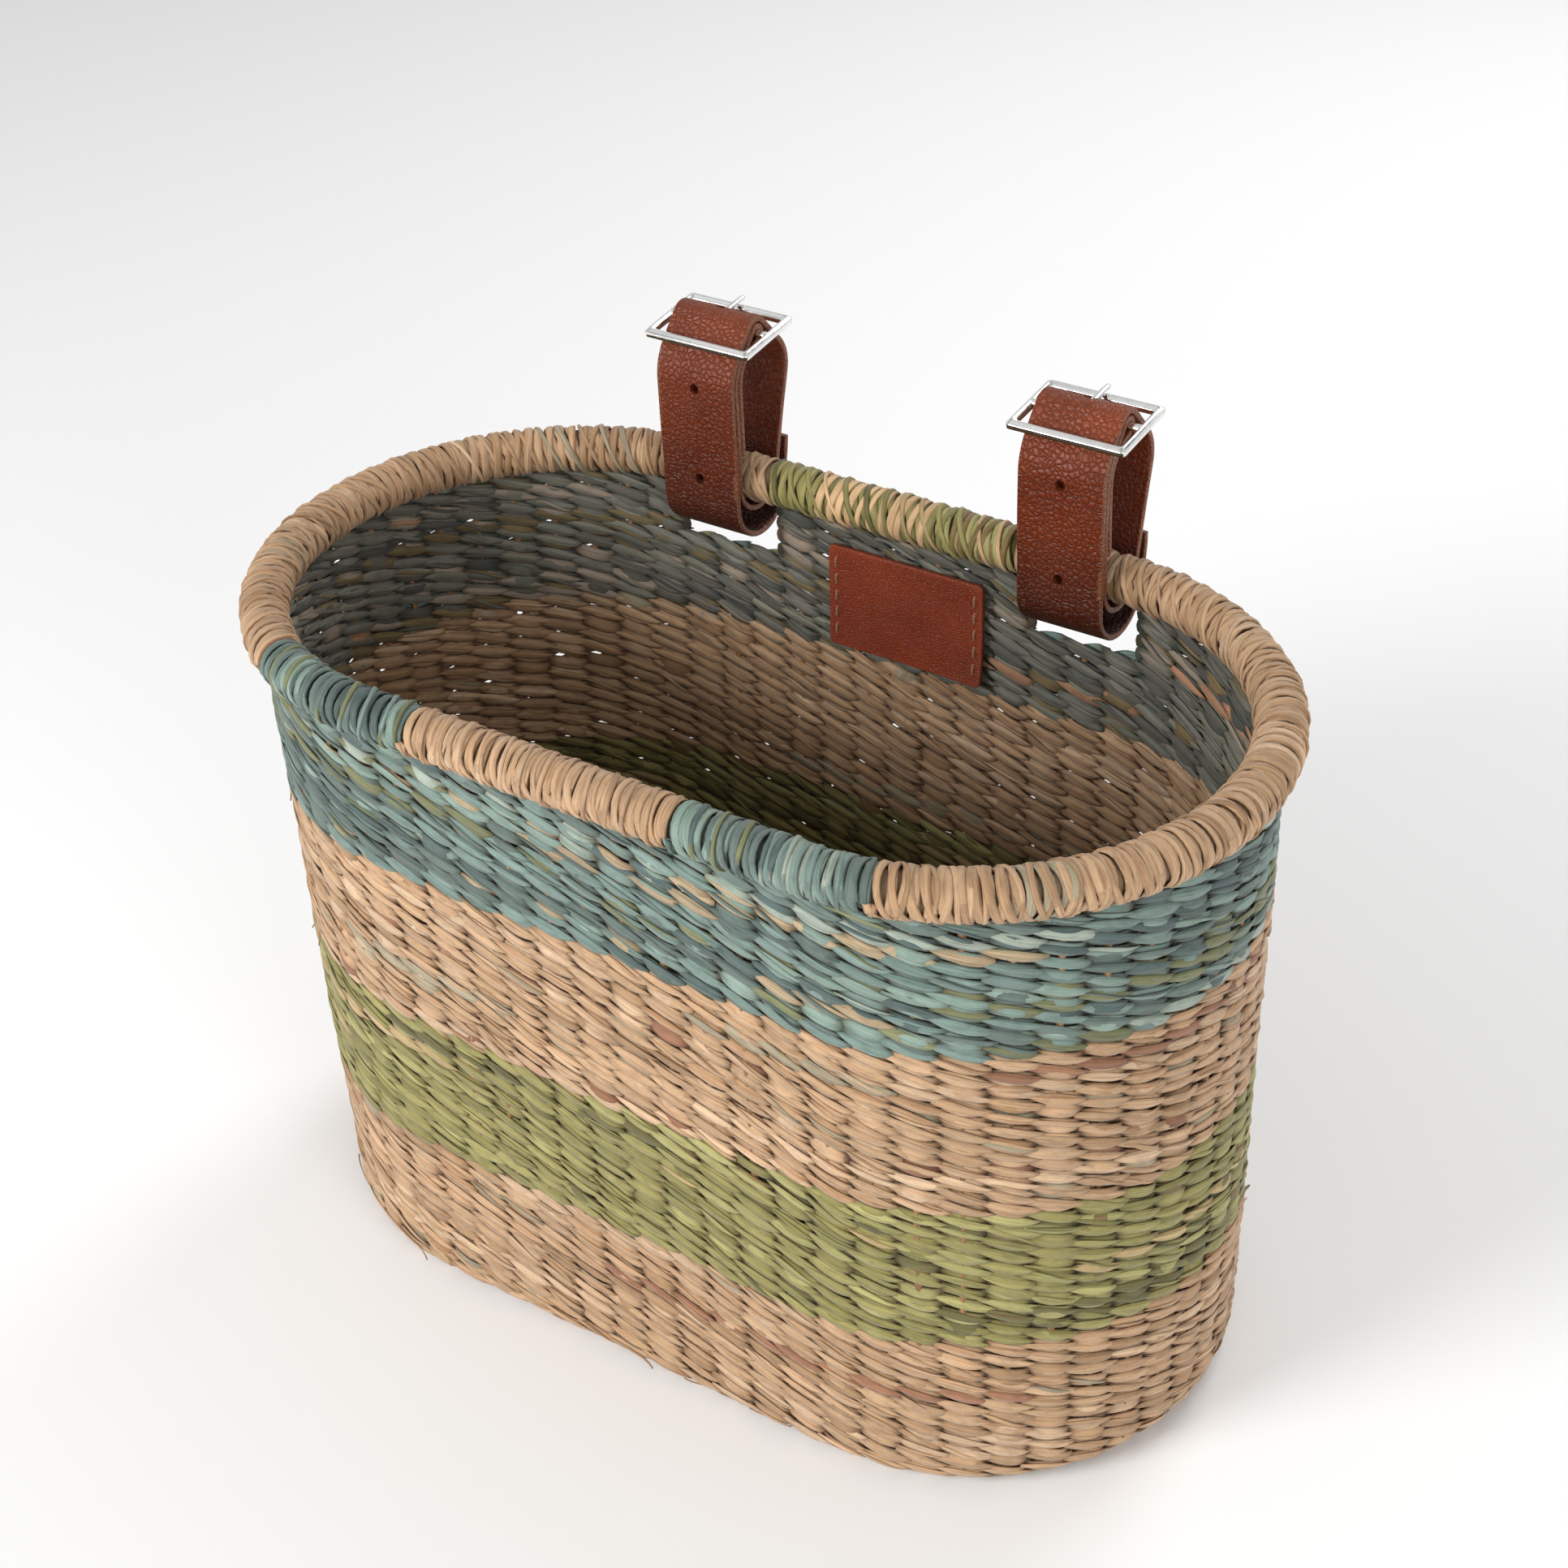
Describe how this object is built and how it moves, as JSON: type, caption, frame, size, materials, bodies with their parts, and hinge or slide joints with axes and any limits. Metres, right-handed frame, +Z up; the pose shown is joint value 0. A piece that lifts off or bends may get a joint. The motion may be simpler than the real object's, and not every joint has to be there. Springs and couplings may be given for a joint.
{
  "type": "handlebar basket",
  "caption": "Oval woven grass handlebar basket with coloured bands, a wrapped rim, a leather label and buckled leather straps that hang it from a bar.",
  "frame": {"origin": "middle of the underside of the base", "axes": "+X along the basket, +Y towards the bar, +Z up"},
  "size_m": [0.354, 0.21, 0.2943],
  "materials": {
    "tan_grass": "matte natural grass weave",
    "blue_grass": "matte dyed grass weave",
    "green_grass": "matte dyed grass weave",
    "stake_grass": "matte",
    "hoop_cane": "matte",
    "strap_leather": "pebbled, satin",
    "patch_leather": "smooth, satin",
    "thread": "waxed thread",
    "buckle_metal": "polished"
  },
  "bodies": {
    "basket": {"base_weave": "tan_grass", "wall_band_tan_lower": "tan_grass", "wall_band_green": "green_grass", "wall_band_tan_middle": "tan_grass", "wall_band_blue": "blue_grass", "warp_stakes": "stake_grass", "rim_hoop": "hoop_cane", "rim_wrap_tan_left": "tan_grass", "rim_wrap_blue_left": "blue_grass", "rim_wrap_tan_front": "tan_grass", "rim_wrap_blue_front": "blue_grass", "rim_wrap_tan_right": "tan_grass", "rim_wrap_green_back": "green_grass", "leather_patch": "patch_leather", "patch_stitches": "thread"},
    "strap_left_body": {"strap_left": "strap_leather", "strap_stitches_left": "thread"},
    "buckle_left_body": {"buckle_frame_left": "buckle_metal", "buckle_bar_left": "buckle_metal"},
    "prong_left_body": {"buckle_prong_left": "buckle_metal"},
    "strap_right_body": {"strap_right": "strap_leather", "strap_stitches_right": "thread"},
    "buckle_right_body": {"buckle_frame_right": "buckle_metal", "buckle_bar_right": "buckle_metal"},
    "prong_right_body": {"buckle_prong_right": "buckle_metal"}
  },
  "joints": [
    {"name": "strap_left_swing", "type": "hinge", "parent": "basket", "child": "strap_left_body", "pos_m": [-0.07254, 0.091, 0.236], "axis": [1, 0, 0], "range_deg": [-60, 100]},
    {"name": "buckle_left_tilt", "type": "hinge", "parent": "strap_left_body", "child": "buckle_left_body", "pos_m": [-0.07254, 0.09344, 0.28825], "axis": [1, 0, 0], "range_deg": [-6, 2]},
    {"name": "prong_left_lift", "type": "hinge", "parent": "buckle_left_body", "child": "prong_left_body", "pos_m": [-0.07254, 0.09344, 0.28825], "axis": [1, 0, 0], "range_deg": [0, 12]},
    {"name": "strap_right_swing", "type": "hinge", "parent": "basket", "child": "strap_right_body", "pos_m": [0.06555, 0.091, 0.236], "axis": [1, 0, 0], "range_deg": [-60, 100]},
    {"name": "buckle_right_tilt", "type": "hinge", "parent": "strap_right_body", "child": "buckle_right_body", "pos_m": [0.06555, 0.09344, 0.28825], "axis": [1, 0, 0], "range_deg": [-6, 2]},
    {"name": "prong_right_lift", "type": "hinge", "parent": "buckle_right_body", "child": "prong_right_body", "pos_m": [0.06555, 0.09344, 0.28825], "axis": [1, 0, 0], "range_deg": [0, 12]}
  ]
}
